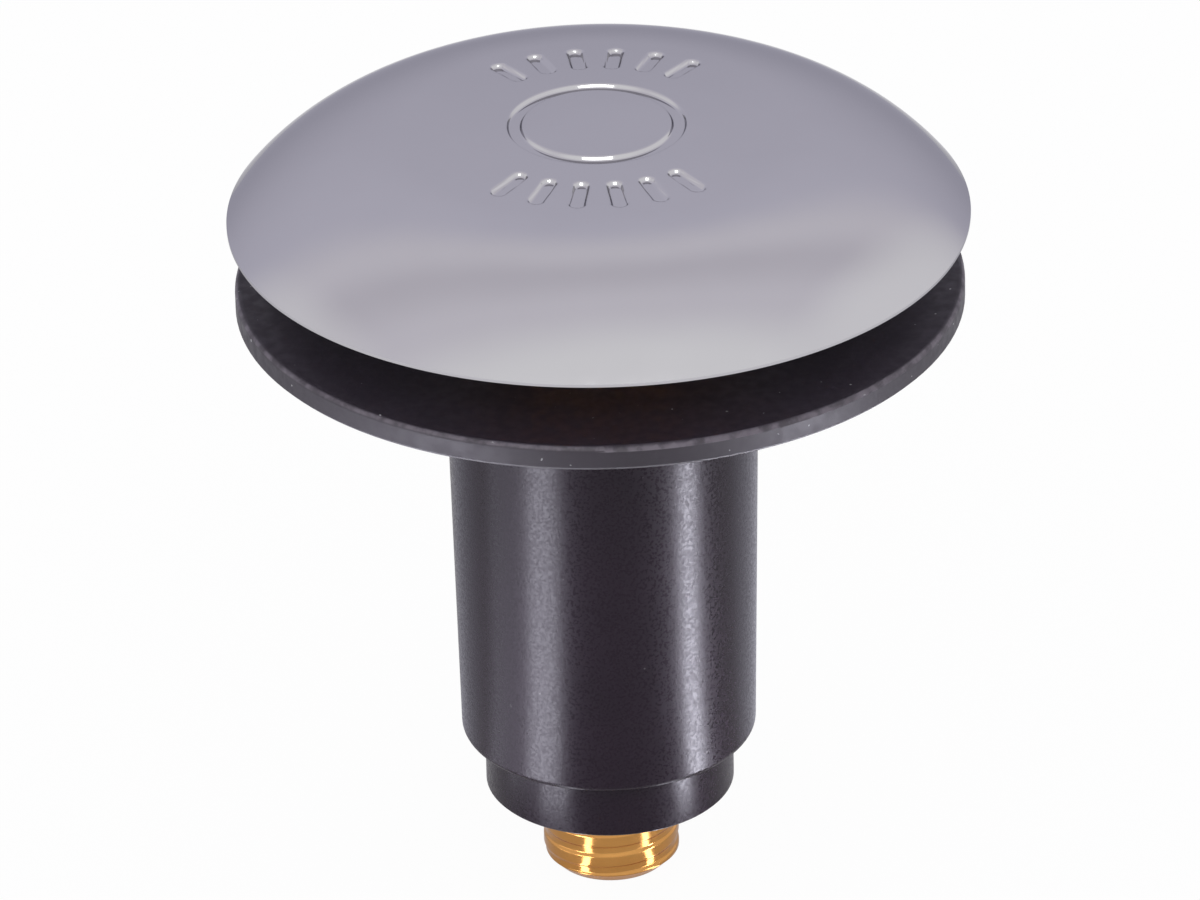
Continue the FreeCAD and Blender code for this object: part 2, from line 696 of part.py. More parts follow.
failed = [item.Name for item in doc.Objects if {"Invalid", "Error"} & set(item.State)]
failed += [piece.Label for piece in pieces if piece.Shape.isNull() or not piece.Shape.isValid()]
if failed:
    raise RuntimeError(f"failed: {failed}")

os.makedirs("parts", exist_ok=True)
for piece in pieces:
    piece.Shape.exportStep(f"parts/{piece.Label}.step")
    print(f"{piece.Label}: {len(piece.Shape.Solids)} solid, {piece.Shape.Volume:.1f} mm3")
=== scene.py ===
# Looks of a toe-touch bathtub drain stopper: stamped chrome cap, rubber seal, black sleeve and post,
# and brass stud. Metres, +Z up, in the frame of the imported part.
import bpy
import json
import math
import numpy as np
from mathutils import Matrix, Vector


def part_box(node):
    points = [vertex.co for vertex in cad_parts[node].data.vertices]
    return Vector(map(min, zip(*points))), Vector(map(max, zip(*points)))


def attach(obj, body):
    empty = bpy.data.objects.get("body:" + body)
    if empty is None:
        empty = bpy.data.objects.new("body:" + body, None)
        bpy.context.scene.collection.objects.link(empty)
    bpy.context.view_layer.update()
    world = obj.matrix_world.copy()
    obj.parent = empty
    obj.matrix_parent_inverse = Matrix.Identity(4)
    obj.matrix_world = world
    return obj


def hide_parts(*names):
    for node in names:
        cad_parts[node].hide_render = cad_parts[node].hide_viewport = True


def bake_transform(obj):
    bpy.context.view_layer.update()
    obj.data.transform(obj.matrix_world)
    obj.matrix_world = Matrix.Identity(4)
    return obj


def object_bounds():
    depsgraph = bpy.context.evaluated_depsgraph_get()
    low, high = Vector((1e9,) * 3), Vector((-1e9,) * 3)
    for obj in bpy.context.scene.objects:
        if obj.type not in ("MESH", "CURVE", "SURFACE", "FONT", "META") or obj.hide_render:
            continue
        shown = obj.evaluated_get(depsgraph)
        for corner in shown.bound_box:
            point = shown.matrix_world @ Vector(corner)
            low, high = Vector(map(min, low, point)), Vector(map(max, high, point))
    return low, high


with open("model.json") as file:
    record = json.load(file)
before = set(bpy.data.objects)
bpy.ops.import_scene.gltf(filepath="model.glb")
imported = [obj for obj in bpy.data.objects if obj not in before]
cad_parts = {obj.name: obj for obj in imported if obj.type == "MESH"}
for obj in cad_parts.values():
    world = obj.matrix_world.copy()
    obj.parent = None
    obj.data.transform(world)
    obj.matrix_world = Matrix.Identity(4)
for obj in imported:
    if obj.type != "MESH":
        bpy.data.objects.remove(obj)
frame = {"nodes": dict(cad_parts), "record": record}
cad_low, cad_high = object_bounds()

MM = 0.001

# Photograph's frame and camera
FRAME_WIDTH = 1200
CAMERA_ELEVATION = 28.27
CAMERA_ROLL = 1.2
CAMERA_DISTANCE = 0.7
CAMERA_SENSOR = 36.0
CAMERA_NEAR = 0.05
CAMERA_FAR = 20.0
PIXELS_PER_MM = 14.47
VIEW_TARGET = Vector((-0.24, 0.0, 25.86)) * MM

# Floor: half its side, its gap under the part, its colour, and its share of plain white,
# as seen straight and in reflections
WHITE = (1, 1, 1)
FLOOR_REACH = 0.2
FLOOR_GAP = 0.02 * MM
FLOOR_COLOUR = (0.85, 0.85, 0.85)
FLOOR_WHITE = 0.96
FLOOR_WHITE_MIRRORED = 0.2

# Studio: tones from the front, which is -1, over the top to the back, which is 1, and the brighter sides
STUDIO_BEHIND = (-0.15, 0.99, 0.0)
STUDIO_TONES = (
    (-0.5, (0.97, 0.965, 0.985)),
    (-0.05, (0.79, 0.765, 0.83)),
    (0.27, (0.69, 0.665, 0.73)),
    (0.47, (0.77, 0.745, 0.81)),
    (0.72, (0.66, 0.645, 0.745)),
)
STUDIO_SIDE = (0.93, 0.92, 0.95)
STUDIO_SIDE_SHIFT = 0.07
STUDIO_SIDE_FROM = 0.66
STUDIO_SIDE_TO = 0.9

# Glowing cards on the floor: name, turn from the front to the right and spread in degrees, and radiance.
# The long ones show as streaks and paler edges on the sleeve, the short ones on the stud.
CARD_TINT = (0.89, 0.885, 1.0)
CARD_STEPS = 13
CARD_LIFT = 0.05 * MM
SLEEVE_CARD_NEAR = 22 * MM
SLEEVE_CARD_FAR = 92 * MM
SLEEVE_CARDS = (
    ("left_card", -45, 22, 17),
    ("left_side_card", -75, 30, 3),
    ("right_card", 60, 11, 40),
    ("right_edge_card", 130, 50, 1.2),
    ("left_edge_card", -125, 40, 0.9),
)
STUD_CARD_NEAR = 4.9 * MM
STUD_CARD_FAR = 18 * MM
STUD_CARDS = (
    ("left_stud_card", -31, 9, 6.5),
    ("right_stud_card", 47, 9, 7.0),
)

# Soft box in front of the object
BOX_DISTANCE = 0.9
BOX_ELEVATION = 41
BOX_WIDTH = 0.6
BOX_HEIGHT = 0.2
BOX_RADIANCE = 3.6

# Cap: section of the stamped shell and its engraved marks, with turns and arcs in degrees
CAP_SHOULDER = 16.6 * MM
CAP_SHOULDER_WIDTH = 13.05 * MM
CAP_SKIRT = 0.2 * MM
CAP_CROWN = 200.0 * MM
CAP_WALL = 0.9 * MM
CAP_SEGMENTS = 640
SHOULDER_STEPS = 32
UNDER_SHOULDER_STEPS = 14
UNDER_CROWN_STEPS = 8
UNDER_CROWN_END = 89.9
RIM_MARGIN = 1.01
LEVEL_TOLERANCE = 1e-7
MARK_FIELD = 13.6 * MM
MARK_STEP = 0.07 * MM
PLAIN_STEPS = 6
MARK_DEPTH = 0.3 * MM
MARK_SHOULDER = 0.22 * MM
RING_RADIUS = 5.6 * MM
RING_WIDTH = 0.9 * MM
BAR_RADIUS = 10.4 * MM
BAR_LENGTH = 3.4 * MM
BAR_WIDTH = 1.0 * MM
BAR_TURN = 14.0
BARS_IN_ARC = 6
BAR_ARCS = (90, -90)

# Mounting stud: threaded shank, neck inside the foot and slotted hexagon head
STUD_RADIUS = 4.7625 * MM
STUD_REACH = 6.35 * MM
STUD_CHAMFER = 0.8 * MM
STUD_PITCH = 1.5875 * MM
STUD_GROOVE = 1.0 * MM
STUD_ROOT = 0.3 * MM
STUD_DEPTH = 0.13 * MM
STUD_RUNOUT = 0.9 * MM
STUD_STEP = 0.05 * MM
STUD_SEGMENTS = 180
STUD_NECK = 4.5 * MM
HEAD_SIDES = 6
HEAD_FOOT = 1.2 * MM
HEAD_TOP = 3.6 * MM
HEAD_FLATS = 10.725 * MM
SLOT_LENGTH = 6.4 * MM
SLOT_WIDTH = 1.8 * MM
SLOT_DEPTH = 1.3 * MM
SLOT_CORNERS = ((1, 1), (-1, 1), (-1, -1), (1, -1))

# Spring in the hollow post
SPRING_WIRE = 1.1 * MM
SPRING_RADIUS = 4.3 * MM
SPRING_FOOT = 4.6 * MM
SPRING_TOP = 33.8 * MM
SPRING_END_GAP = 0.05 * MM
SPRING_END_PITCH = 1.6 * MM
SPRING_TURNS = 6
SPRING_STEPS = 56
SPRING_SIDES = 12

# Usual range of a noise texture, and the colour sockets of a mix node
NOISE_LOW = 0.3
NOISE_HIGH = 0.7
MIX_FIRST = 6
MIX_SECOND = 7
MIX_RESULT = 2


def lathe_rings(profile, segments):
    """Points of an outline (radius, height) turned about Z, ring by ring."""
    turn = np.linspace(0, 2 * np.pi, segments, endpoint=False)
    radius = profile[:, 0][:, None]
    height = profile[:, 1][:, None] + 0 * turn
    return np.stack([radius * np.cos(turn), radius * np.sin(turn), height], axis=2)


def ring_faces(rows, segments, first):
    """Quads between rings that follow each other, facing outwards where they run down the outside."""
    row, column = np.meshgrid(np.arange(rows - 1), np.arange(segments), indexing="ij")
    following = (column + 1) % segments
    corners = [
        row * segments + column,
        (row + 1) * segments + column,
        (row + 1) * segments + following,
        row * segments + following,
    ]
    return (np.stack(corners, axis=2).reshape(-1, 4) + first).tolist()


def scene_object(name, data):
    """New object of the scene that holds the data."""
    piece = bpy.data.objects.new(name, data)
    bpy.context.scene.collection.objects.link(piece)
    return piece


def mesh_object(name, points, faces):
    """New object with a smooth mesh."""
    mesh = bpy.data.meshes.new(name)
    mesh.from_pydata(points, [], faces)
    mesh.polygons.foreach_set("use_smooth", [True] * len(mesh.polygons))
    mesh.update()
    return scene_object(name, mesh)


def smooth_step(value, low, high):
    """Smooth rise from 0 at low to 1 at high."""
    share = np.clip((value - low) / (high - low), 0, 1)
    return share * share * (3 - 2 * share)


def arc_points(centre, radius, start, end, steps):
    """Points of an arc in the section plane; angles in degrees from outwards to upwards."""
    angle = np.radians(np.linspace(start, end, steps))
    return np.stack([centre[0] + radius * np.cos(angle), centre[1] + radius * np.sin(angle)], axis=1)


def mark_relief(x, y):
    """Height of the cap's engraved marks, below its surface: a plain ring and two arcs of short bars."""
    radius = np.hypot(x, y)
    half = MARK_SHOULDER / 2
    from_ring = np.abs(radius - RING_RADIUS) - RING_WIDTH / 2
    relief = -MARK_DEPTH * (1 - smooth_step(from_ring, -half, half))
    turn = np.degrees(np.arctan2(y, x))
    reach = BAR_TURN * (BARS_IN_ARC - 1) / 2
    for middle in BAR_ARCS:
        beside = turn - middle
        nearest = np.clip(np.round((beside + reach) / BAR_TURN), 0, BARS_IN_ARC - 1) * BAR_TURN - reach
        across = radius * np.sin(np.radians(np.clip(beside - nearest, -90, 90)))
        along = np.maximum(np.abs(radius - BAR_RADIUS) - (BAR_LENGTH - BAR_WIDTH) / 2, 0)
        from_bar = np.hypot(across, along) - BAR_WIDTH / 2
        relief -= MARK_DEPTH * (1 - smooth_step(from_bar, -half, half))
    return relief


def field_radii():
    """Radii of the rings in the field of the marks, close together only where a mark lies."""
    across = np.arange(MARK_STEP, MARK_FIELD, MARK_STEP)
    on_ring = np.abs(across - RING_RADIUS) < RING_WIDTH / 2 + MARK_SHOULDER
    on_bars = np.abs(across - BAR_RADIUS) < BAR_LENGTH / 2 + MARK_SHOULDER
    plain = np.arange(len(across)) % PLAIN_STEPS == 0
    return across[on_ring | on_bars | plain]


def cap_section(outer, rim, top):
    """Outline of the shell, over the top and back underneath: the field of the marks, then the rest."""
    shoulder_drop = math.sqrt(CAP_SHOULDER ** 2 - CAP_SHOULDER_WIDTH ** 2)
    shoulder = (outer - CAP_SHOULDER_WIDTH, rim + CAP_SKIRT - shoulder_drop)
    crown = (0, top - CAP_CROWN)
    lean = math.degrees(math.atan2(shoulder[1] - crown[1], shoulder[0]))
    edge = math.degrees(math.asin(shoulder_drop / CAP_SHOULDER))
    inner_shoulder = CAP_SHOULDER - CAP_WALL
    inner_edge = math.degrees(math.asin((rim - shoulder[1]) / inner_shoulder))

    across = field_radii()
    on_crown = crown[1] + np.sqrt(CAP_CROWN ** 2 - across ** 2)
    beyond = np.clip(across - shoulder[0], 0, None)
    on_shoulder = shoulder[1] + np.sqrt(CAP_SHOULDER ** 2 - beyond ** 2)
    runs_out = across > CAP_CROWN * math.cos(math.radians(lean))
    field = np.stack([across, np.where(runs_out, on_shoulder, on_crown)], axis=1)

    field_end = math.degrees(math.acos((MARK_FIELD - shoulder[0]) / CAP_SHOULDER))
    over = arc_points(shoulder, CAP_SHOULDER, field_end, edge, SHOULDER_STEPS)
    land = np.array([[outer, rim + CAP_SKIRT / 2], [outer, rim]])
    under_shoulder = arc_points(shoulder, inner_shoulder, inner_edge, lean, UNDER_SHOULDER_STEPS)
    under_crown = arc_points(crown, CAP_CROWN - CAP_WALL, lean, UNDER_CROWN_END, UNDER_CROWN_STEPS)[1:]
    return field, np.concatenate([over, land, under_shoulder, under_crown])


def sharp_rim(mesh, level):
    """Keeps the rim's corners crisp, so that the land does not shade into the shoulder."""
    places = np.empty(len(mesh.vertices) * 3)
    mesh.vertices.foreach_get("co", places)
    heights = places.reshape(-1, 3)[:, 2]
    ends = np.empty(len(mesh.edges) * 2, dtype=np.int64)
    mesh.edges.foreach_get("vertices", ends)
    end_heights = heights[ends.reshape(-1, 2)]
    low = (end_heights < level).all(axis=1)
    flat = np.abs(end_heights[:, 0] - end_heights[:, 1]) < LEVEL_TOLERANCE
    sharp = mesh.attributes.new("sharp_edge", "BOOLEAN", "EDGE")
    sharp.data.foreach_set("value", low & flat)


def make_cap():
    """Stamped shell with the same section as the solid, fine enough to hold the marks."""
    low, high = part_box("cap")
    rim, top = low.z, high.z
    field, rest = cap_section(high.x, rim, top)
    profile = np.concatenate([field, rest])
    rings = lathe_rings(profile, CAP_SEGMENTS)
    rings[:len(field), :, 2] += mark_relief(rings[:len(field), :, 0], rings[:len(field), :, 1])
    apex = (0, 0, top)
    under_apex = (0, 0, top - CAP_WALL)
    points = [apex, *rings.reshape(-1, 3).tolist(), under_apex]
    faces = ring_faces(len(profile), CAP_SEGMENTS, 1)
    last = len(points) - 1
    last_ring = last - CAP_SEGMENTS
    for index in range(CAP_SEGMENTS):
        following = (index + 1) % CAP_SEGMENTS
        faces.append([0, 1 + index, 1 + following])
        faces.append([last, last_ring + following, last_ring + index])
    shell = mesh_object("cap_shell", points, faces)
    sharp_rim(shell.data, rim + CAP_SKIRT * RIM_MARGIN)
    return shell


def thread_depth(angle, height):
    """Depth of the right-handed thread's groove at each place on the shank."""
    phase = height / STUD_PITCH - angle / (2 * np.pi)
    from_middle = np.abs(phase - np.round(phase)) * STUD_PITCH
    groove = smooth_step(-from_middle, -STUD_GROOVE / 2, -STUD_ROOT / 2)
    return STUD_DEPTH * groove * smooth_step(-height, STUD_RUNOUT / 3, STUD_RUNOUT)


def add_shank(points, faces):
    """Neck and threaded shank, whose rings follow the thread down to a bevelled end."""
    height = np.arange(-STUD_REACH, STUD_STEP / 2, STUD_STEP)[::-1]
    angle = np.linspace(0, 2 * np.pi, STUD_SEGMENTS, endpoint=False)
    bevelled = STUD_RADIUS - np.clip(STUD_CHAMFER - STUD_REACH - height, 0, None)
    threaded = STUD_RADIUS - thread_depth(angle[None, :], height[:, None])
    radius = np.minimum(threaded, bevelled[:, None])
    neck = np.array([[STUD_NECK, HEAD_FOOT], [STUD_NECK, 0.0]])
    level = height[:, None] + 0 * radius
    shank = np.stack([radius * np.cos(angle), radius * np.sin(angle), level], axis=2)
    rings = np.concatenate([lathe_rings(neck, STUD_SEGMENTS), shank])
    points.extend(rings.reshape(-1, 3).tolist())
    faces.extend(ring_faces(len(rings), STUD_SEGMENTS, 0))
    end = len(points)
    last_ring = end - STUD_SEGMENTS
    points.append((0, 0, -STUD_REACH))
    for index in range(STUD_SEGMENTS):
        faces.append([end, last_ring + (index + 1) % STUD_SEGMENTS, last_ring + index])


def add_head(points, faces):
    """Hexagon head with a driver slot in its top."""
    low = len(points)
    high = low + HEAD_SIDES
    slot = high + HEAD_SIDES
    slot_floor = slot + len(SLOT_CORNERS)
    corner = HEAD_FLATS / 2 / math.cos(math.pi / HEAD_SIDES)
    for level in (HEAD_FOOT, HEAD_TOP):
        for step in range(HEAD_SIDES):
            angle = 2 * math.pi * step / HEAD_SIDES
            points.append((corner * math.cos(angle), corner * math.sin(angle), level))
    for level in (HEAD_TOP, HEAD_TOP - SLOT_DEPTH):
        for x, y in SLOT_CORNERS:
            points.append((x * SLOT_LENGTH / 2, y * SLOT_WIDTH / 2, level))
    for step in range(HEAD_SIDES):
        following = (step + 1) % HEAD_SIDES
        faces.append([low + step, low + following, high + following, high + step])
    for step in range(len(SLOT_CORNERS)):
        following = (step + 1) % len(SLOT_CORNERS)
        faces.append([slot + following, slot + step, slot_floor + step, slot_floor + following])
    faces.append([low + step for step in range(HEAD_SIDES)][::-1])
    faces.append([slot_floor + step for step in range(len(SLOT_CORNERS))])
    faces.append([high, high + 1, high + 2, high + 3, slot + 1, slot])
    faces.append([high + 3, high + 4, high + 5, high, slot + 3, slot + 2])
    faces.append([high, slot, slot + 3])
    faces.append([high + 3, slot + 2, slot + 1])


def make_stud():
    """Brass stud with a smooth shank and a flat-sided head."""
    points = []
    faces = []
    add_shank(points, faces)
    shank_points = len(points)
    add_head(points, faces)
    stud = mesh_object("stud_threaded", points, faces)
    for polygon in stud.data.polygons:
        polygon.use_smooth = min(polygon.vertices) < shank_points
    return stud


def spring_level(turns):
    """Height of the wire's centre after so many turns, with close turns at both ends."""
    low = SPRING_FOOT + SPRING_END_GAP + SPRING_WIRE / 2
    height = SPRING_TOP - SPRING_END_GAP - SPRING_WIRE / 2 - low
    pitch = (height - 2 * SPRING_END_PITCH) / SPRING_TURNS
    knots = [0, 1, 1 + SPRING_TURNS, 2 + SPRING_TURNS]
    levels = np.cumsum([low, SPRING_END_PITCH, pitch * SPRING_TURNS, SPRING_END_PITCH])
    return np.interp(turns, knots, levels)


def make_spring():
    """Round wire wound along the spring's line, with cut ends."""
    turns = np.linspace(0, SPRING_TURNS + 2, (SPRING_TURNS + 2) * SPRING_STEPS + 1)
    angle = 2 * np.pi * turns
    outwards = np.stack([np.cos(angle), np.sin(angle), 0 * angle], axis=1)
    line = SPRING_RADIUS * outwards
    line[:, 2] = spring_level(turns)
    run = np.gradient(line, axis=0)
    run /= np.linalg.norm(run, axis=1)[:, None]
    upwards = np.cross(run, outwards)
    sides = np.linspace(0, 2 * np.pi, SPRING_SIDES, endpoint=False)
    rings = (
        line[:, None, :]
        + SPRING_WIRE / 2 * np.cos(sides)[None, :, None] * outwards[:, None, :]
        + SPRING_WIRE / 2 * np.sin(sides)[None, :, None] * upwards[:, None, :]
    )
    faces = [face[::-1] for face in ring_faces(len(line), SPRING_SIDES, 0)]
    faces.append(list(range(SPRING_SIDES))[::-1])
    faces.append([(len(line) - 1) * SPRING_SIDES + index for index in range(SPRING_SIDES)])
    return mesh_object("spring_coil", rings.reshape(-1, 3).tolist(), faces)


def empty_tree(owner):
    """Cleared node tree of a new material or world."""
    owner.use_nodes = True
    owner.node_tree.nodes.clear()
    return owner.node_tree


def combine(tree, operation, *values):
    """Output of a math node on outputs and plain numbers."""
    node = tree.nodes.new("ShaderNodeMath")
    node.operation = operation
    for socket, value in zip(node.inputs, values):
        if isinstance(value, float):
            socket.default_value = value
        else:
            tree.links.new(value, socket)
    return node.outputs["Value"]


def smooth_range(tree, value, low, high, to_low=0.0, to_high=1.0):
    """Value stretched smoothly from the range low to high onto another range."""
    node = tree.nodes.new("ShaderNodeMapRange")
    node.interpolation_type = "SMOOTHSTEP"
    for name, number in zip(("From Min", "From Max", "To Min", "To Max"), (low, high, to_low, to_high)):
        node.inputs[name].default_value = number
    tree.links.new(value, node.inputs["Value"])
    return node.outputs["Result"]


def mixed_colour(tree, share, first, second):
    """Colour between two colours or colour outputs."""
    node = tree.nodes.new("ShaderNodeMix")
    node.data_type = "RGBA"
    tree.links.new(share, node.inputs["Factor"])
    for socket, colour in ((node.inputs[MIX_FIRST], first), (node.inputs[MIX_SECOND], second)):
        if isinstance(colour, tuple):
            socket.default_value = (*colour, 1)
        else:
            tree.links.new(colour, socket)
    return node.outputs[MIX_RESULT]


def plain_shader(tree, kind, colour):
    """Shader node of one colour."""
    node = tree.nodes.new(kind)
    node.inputs["Color"].default_value = (*colour, 1)
    return node


def mixed_shader(tree, share, first, second):
    """Shader between two shader nodes."""
    node = tree.nodes.new("ShaderNodeMixShader")
    tree.links.new(share, node.inputs["Fac"])
    tree.links.new(first.outputs[0], node.inputs[1])
    tree.links.new(second.outputs[0], node.inputs[2])
    return node


def show(tree, kind, shader):
    """Makes a shader node the tree's surface."""
    output = tree.nodes.new(kind)
    tree.links.new(shader.outputs[0], output.inputs["Surface"])


def seen_straight(tree):
    """1 on the camera's own rays, also through clear pieces, and 0 on others."""
    path = tree.nodes.new("ShaderNodeLightPath")
    return combine(tree, "MAXIMUM", path.outputs["Is Camera Ray"], path.outputs["Is Transmission Ray"])


class Finish:
    """Material with a principled shader and short ways to add texture nodes in the object's own space."""

    def __init__(self, name):
        self.material = bpy.data.materials.new(name)
        self.material.use_nodes = True
        self.tree = self.material.node_tree
        self.shader = self.tree.nodes["Principled BSDF"]
        self.place = self.tree.nodes.new("ShaderNodeTexCoord")

    def set(self, **values):
        """Plain values of the shader, with underscores for the spaces in their names."""
        for name, value in values.items():
            self.shader.inputs[name.replace("_", " ")].default_value = value

    def feed(self, name, output):
        """Links an output to one of the shader's sockets."""
        self.tree.links.new(output, self.shader.inputs[name])

    def stretched(self, scale):
        """Place in the object's space, scaled along each axis."""
        mapping = self.tree.nodes.new("ShaderNodeMapping")
        mapping.inputs["Scale"].default_value = scale
        self.tree.links.new(self.place.outputs["Object"], mapping.inputs["Vector"])
        return mapping.outputs["Vector"]

    def noise(self, grain, detail=2.0, roughness=0.5, vector=None):
        """Noise whose patches are about one grain across."""
        texture = self.tree.nodes.new("ShaderNodeTexNoise")
        texture.inputs["Scale"].default_value = 1 / grain
        texture.inputs["Detail"].default_value = detail
        texture.inputs["Roughness"].default_value = roughness
        self.tree.links.new(vector or self.place.outputs["Object"], texture.inputs["Vector"])
        return texture.outputs["Fac"]

    def facing_up(self):
        """Upward share of the surface's direction, from -1 to 1."""
        apart = self.tree.nodes.new("ShaderNodeSeparateXYZ")
        self.tree.links.new(self.place.outputs["Normal"], apart.inputs["Vector"])
        return apart.outputs["Z"]

    def share(self, value, low, high):
        """0 where the value is under low, 1 where it is over high."""
        return smooth_range(self.tree, value, low, high)

    def mix(self, share, first, second):
        """Colour between two colours or colour outputs."""
        return mixed_colour(self.tree, share, first, second)

    def rough(self, noise, least, most, noise_high=NOISE_HIGH):
        """Roughness that follows a noise."""
        self.feed("Roughness", smooth_range(self.tree, noise, NOISE_LOW, noise_high, least, most))

    def bump(self, height, strength, depth):
        """Lays a bump over the one that the shader has, if any."""
        node = self.tree.nodes.new("ShaderNodeBump")
        node.inputs["Strength"].default_value = strength
        node.inputs["Distance"].default_value = depth
        self.tree.links.new(height, node.inputs["Height"])
        for link in self.shader.inputs["Normal"].links:
            self.tree.links.new(link.from_socket, node.inputs["Normal"])
        self.feed("Normal", node.outputs["Normal"])


def chrome_finish():
    """Polished plate with a faint haze and hardly visible waves."""
    darker = (0.55, 0.545, 0.56)
    paler = (0.575, 0.57, 0.585)
    finish = Finish("polished_chrome")
    finish.set(Metallic=1.0, Specular_Tint=(0.58, 0.58, 0.6, 1))
    finish.feed("Base Color", finish.mix(finish.noise(6 * MM, detail=3), darker, paler))
    haze = finish.noise(1.6 * MM, detail=4, roughness=0.6)
    finish.rough(haze, least=0.06, most=0.1, noise_high=0.75)
    finish.bump(finish.noise(7 * MM, detail=1), strength=0.12, depth=0.3 * MM)
    return finish.material


def rubber_finish():
    """Matt black rubber with a painted highlight along its upper edge, where the surface faces partly
    upwards, and specks of dust.
    """
    deep = (0.008, 0.004, 0.01)
    faded = (0.018, 0.011, 0.021)
    # Painted highlight: paler tones for the upper rounded edge, standing in for the light that the edge
    # catches
    sheen_dim = (0.045, 0.037, 0.048)
    sheen_bright = (0.12, 0.104, 0.126)
    dust_colour = (0.32, 0.32, 0.33)
    finish = Finish("moulded_rubber")
    finish.set(Specular_IOR_Level=0.55)
    black = finish.mix(finish.noise(4 * MM, detail=4, roughness=0.6), deep, faded)
    sheen_patches = finish.share(finish.noise(1.4 * MM, detail=3, roughness=0.6), 0.38, 0.62)
    edge_sheen = finish.mix(sheen_patches, sheen_dim, sheen_bright)
    # The painted highlight lies where the surface faces partly upwards; the flat top stays black
    up = finish.facing_up()
    edge = finish.mix(finish.share(up, 0.05, 0.5), black, edge_sheen)
    body = finish.mix(finish.share(up, 0.75, 0.97), edge, black)
    dust = finish.share(finish.noise(0.5 * MM, detail=1), 0.755, 0.795)
    finish.feed("Base Color", finish.mix(dust, body, dust_colour))
    finish.rough(finish.noise(0.9 * MM, detail=3), least=0.46, most=0.62)
    finish.bump(finish.noise(0.35 * MM, detail=3), strength=0.25, depth=0.03 * MM)
    return finish.material


def plastic_finish():
    """Satin black moulding with a fine grain and a few flecks."""
    deep = (0.009, 0.004, 0.01)
    faded = (0.016, 0.008, 0.017)
    fleck_colour = (0.14, 0.13, 0.14)
    finish = Finish("satin_black_plastic")
    finish.set(Specular_IOR_Level=0.2)
    black = finish.mix(finish.noise(5 * MM, detail=3), deep, faded)
    fleck = finish.share(finish.noise(0.5 * MM, detail=1), 0.79, 0.84)
    finish.feed("Base Color", finish.mix(fleck, black, fleck_colour))
    grain = finish.noise(0.2 * MM, detail=2, roughness=0.6)
    finish.rough(grain, least=0.22, most=0.4)
    finish.bump(grain, strength=0.45, depth=0.018 * MM)
    finish.bump(finish.noise(0.9 * MM, detail=1), strength=0.3, depth=0.02 * MM)
    return finish.material


def brass_finish():
    """Turned brass with fine marks round its axis."""
    darker = (0.54, 0.262, 0.074)
    paler = (0.65, 0.33, 0.096)
    round_axis = (0.15, 0.15, 1.0)
    finish = Finish("turned_brass")
    finish.set(Metallic=1.0)
    cloud = finish.noise(2.2 * MM, detail=4, roughness=0.6)
    finish.feed("Base Color", finish.mix(cloud, darker, paler))
    finish.rough(cloud, least=0.12, most=0.22)
    turned = finish.noise(0.18 * MM, detail=2, vector=finish.stretched(round_axis))
    finish.bump(turned, strength=0.25, depth=0.02 * MM)
    return finish.material


def steel_finish():
    """Bright steel."""
    darker = (0.52, 0.52, 0.52)
    paler = (0.6, 0.595, 0.59)
    finish = Finish("bright_steel")
    finish.set(Metallic=1.0)
    cloud = finish.noise(1.2 * MM, detail=3)
    finish.feed("Base Color", finish.mix(cloud, darker, paler))
    finish.rough(cloud, least=0.24, most=0.34)
    finish.bump(finish.noise(0.3 * MM, detail=2), strength=0.1, depth=0.01 * MM)
    return finish.material


def nylon_finish():
    """Natural nylon, slightly cloudy."""
    darker = (0.74, 0.71, 0.63)
    paler = (0.82, 0.8, 0.74)
    finish = Finish("natural_nylon")
    finish.set(Specular_IOR_Level=0.45, Subsurface_Weight=0.05)
    cloud = finish.noise(3 * MM, detail=3)
    finish.feed("Base Color", finish.mix(cloud, darker, paler))
    finish.rough(cloud, least=0.4, most=0.52)
    finish.bump(finish.noise(0.4 * MM, detail=2), strength=0.2, depth=0.03 * MM)
    return finish.material


def studio_tone(tree, direction):
    """Tone of the studio by how far behind the object a direction points."""
    behind = tree.nodes.new("ShaderNodeVectorMath")
    behind.operation = "DOT_PRODUCT"
    behind.inputs[1].default_value = STUDIO_BEHIND
    tree.links.new(direction, behind.inputs[0])
    share = tree.nodes.new("ShaderNodeMapRange")
    share.inputs["From Min"].default_value = -1
    tree.links.new(behind.outputs["Value"], share.inputs["Value"])
    tones = tree.nodes.new("ShaderNodeValToRGB")
    tones.color_ramp.interpolation = "EASE"
    stops = tones.color_ramp.elements
    while len(stops) < len(STUDIO_TONES):
        stops.new(0.5)
    for stop, (place_along, tone) in zip(stops, STUDIO_TONES):
        stop.position = (place_along + 1) / 2
        stop.color = (*tone, 1)
    tree.links.new(share.outputs["Result"], tones.inputs["Fac"])
    return tones.outputs["Color"]


def studio_side(tree, direction):
    """1 where a direction points far to the left or the right, 0 between."""
    apart = tree.nodes.new("ShaderNodeSeparateXYZ")
    tree.links.new(direction, apart.inputs["Vector"])
    shifted = combine(tree, "ADD", apart.outputs["X"], STUDIO_SIDE_SHIFT)
    aside = combine(tree, "ABSOLUTE", shifted)
    return smooth_range(tree, aside, STUDIO_SIDE_FROM, STUDIO_SIDE_TO)


def make_world():
    """Pale studio all round, a little dimmer behind the object and white to the camera."""
    world = bpy.data.worlds.new("studio")
    bpy.context.scene.world = world
    tree = empty_tree(world)
    direction = tree.nodes.new("ShaderNodeTexCoord").outputs["Generated"]
    tone = mixed_colour(tree, studio_side(tree, direction), studio_tone(tree, direction), STUDIO_SIDE)
    studio = tree.nodes.new("ShaderNodeBackground")
    tree.links.new(tone, studio.inputs["Color"])
    white = plain_shader(tree, "ShaderNodeBackground", WHITE)
    show(tree, "ShaderNodeOutputWorld", mixed_shader(tree, seen_straight(tree), studio, white))


